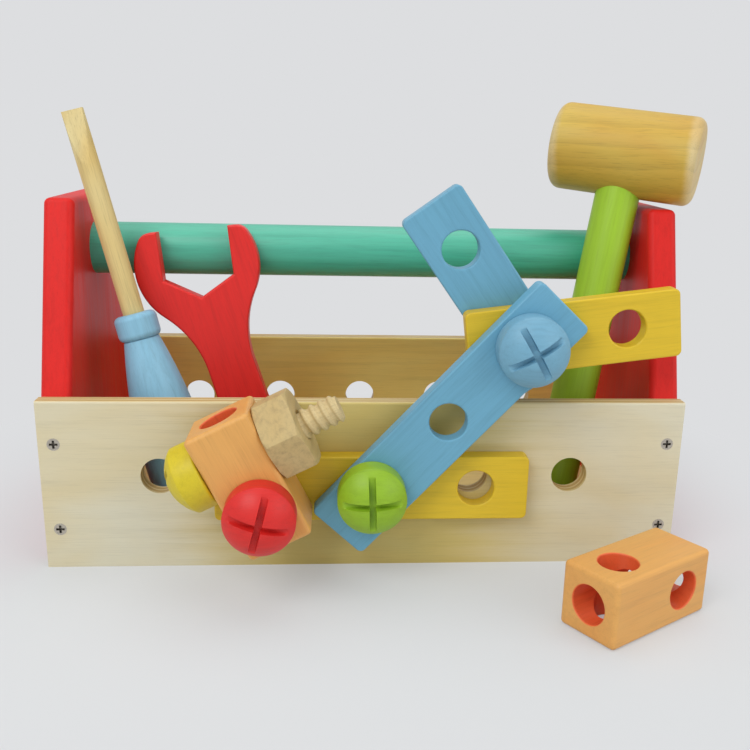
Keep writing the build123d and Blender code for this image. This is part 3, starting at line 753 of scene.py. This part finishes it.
def floorMaterial(look):
    # Pale matt floor that takes the shadow. With the distance from the object's footprint it turns into an
    # even pale ground, which near the object only softens the shadow by its least share.
    material, tree, shader = newMaterial("paleFloor")
    shader.inputs["Base Color"].default_value = look["near"]
    shader.inputs["Roughness"].default_value = look["roughness"]
    shader.inputs["Specular IOR Level"].default_value = look["specular"]
    place = splitVector(tree, addNode(tree, "ShaderNodeTexCoord").outputs["Object"])
    outside = []
    for axis in (0, 1):
        away = mathOf(tree, "ABSOLUTE", mathOf(tree, "SUBTRACT", place[axis], look["middle"][axis]))
        outside.append(mathOf(tree, "MAXIMUM", mathOf(tree, "SUBTRACT", away, look["half"][axis]), 0.0))
    even = smoothStep(tree, distanceOf(tree, *outside), look["from"], look["to"])
    even = mathOf(tree, "MULTIPLY_ADD", even, 1 - look["least"], look["least"])
    ground = addNode(tree, "ShaderNodeEmission", {"Color": look["far"], "Strength": 1.0})
    mixedSurface(tree, mathOf(tree, "MULTIPLY", even, seenRays(tree)), shader.outputs["BSDF"],
                 ground.outputs["Emission"], "Material Output")
    return material


floor = surfaceObject("floor", [(sweptFloor(floorShape), False, 0)], [floorMaterial(floorLook)],
                      floorShape["sharpAngle"])

# Light and camera

lampList = {
    "key": {"place": (-0.75, -1.05, 1.25), "aim": (0.0, -0.02, 0.06), "size": 0.9, "power": 12.5},
    "fill": {"place": (1.15, -0.85, 0.7), "aim": (0.02, 0.0, 0.07), "size": 1.1, "power": 5.5},
    "top": {"place": (0.1, 0.25, 1.5), "aim": (0.0, 0.05, 0.05), "size": 1.2, "power": 6.0},
}
for name, lamp in lampList.items():
    light = bpy.data.lights.new(name, "AREA")
    light.shape = "SQUARE"
    light.size = lamp["size"]
    light.energy = lamp["power"]
    thing = bpy.data.objects.new(name, light)
    thing.location = lamp["place"]
    thing.rotation_euler = (Vector(lamp["aim"]) - Vector(lamp["place"])).to_track_quat("-Z", "Y").to_euler()
    bpy.context.scene.collection.objects.link(thing)

skyLook = {"light": 0.55, "seen": linear(221, 222, 224)}


def makeSky(look):
    # Even white light from all round, in front of the same pale ground as on the far floor.
    world = bpy.data.worlds.new("studio")
    world.use_nodes = True
    tree = world.node_tree
    lighting = tree.nodes["Background"]
    lighting.inputs["Color"].default_value = grey(1.0)
    lighting.inputs["Strength"].default_value = look["light"]
    ground = addNode(tree, "ShaderNodeBackground", {"Color": look["seen"], "Strength": 1.0})
    mixedSurface(tree, seenRays(tree), lighting.outputs["Background"], ground.outputs["Background"],
                 "World Output")
    bpy.context.scene.world = world


makeSky(skyLook)
bpy.context.scene.view_settings.view_transform = "Standard"

# Place and sensor in millimetres, nearest in metres, angles in radians, the rest in points of the picture.
cameraView = {"place": (-15.82, -446.67, 188.91), "pitch": 0.2839, "yaw": 0.0832, "roll": 0.0265,
              "focal": 3372.68, "centre": (1386.75, 1164.82), "window": 2750.0, "aim": (1275.0, 1080.0),
              "sensor": 36.0, "nearest": 0.02}


def makeCamera(view):
    # Pinhole camera with its axis turned right by yaw, down by pitch and then rolled.
    yaw, pitch, roll = view["yaw"], view["pitch"], view["roll"]
    forward = Vector((math.sin(yaw) * math.cos(pitch), math.cos(yaw) * math.cos(pitch), -math.sin(pitch)))
    right = Vector((math.cos(yaw), -math.sin(yaw), 0))
    up = right.cross(forward)
    rightRolled = right * math.cos(roll) + up * math.sin(roll)
    upRolled = up * math.cos(roll) - right * math.sin(roll)
    data = bpy.data.cameras.new("camera")
    data.sensor_width = view["sensor"]
    data.lens = view["focal"] / view["window"] * view["sensor"]
    data.shift_x = (view["aim"][0] - view["centre"][0]) / view["window"]
    data.shift_y = (view["centre"][1] - view["aim"][1]) / view["window"]
    data.clip_start = view["nearest"]
    camera = bpy.data.objects.new("camera", data)
    matrix = Matrix((rightRolled, upRolled, -forward)).transposed().to_4x4()
    matrix.translation = Vector(view["place"]) * mm
    camera.matrix_world = matrix
    bpy.context.scene.collection.objects.link(camera)
    bpy.context.scene.camera = camera


makeCamera(cameraView)
print("light and camera set")
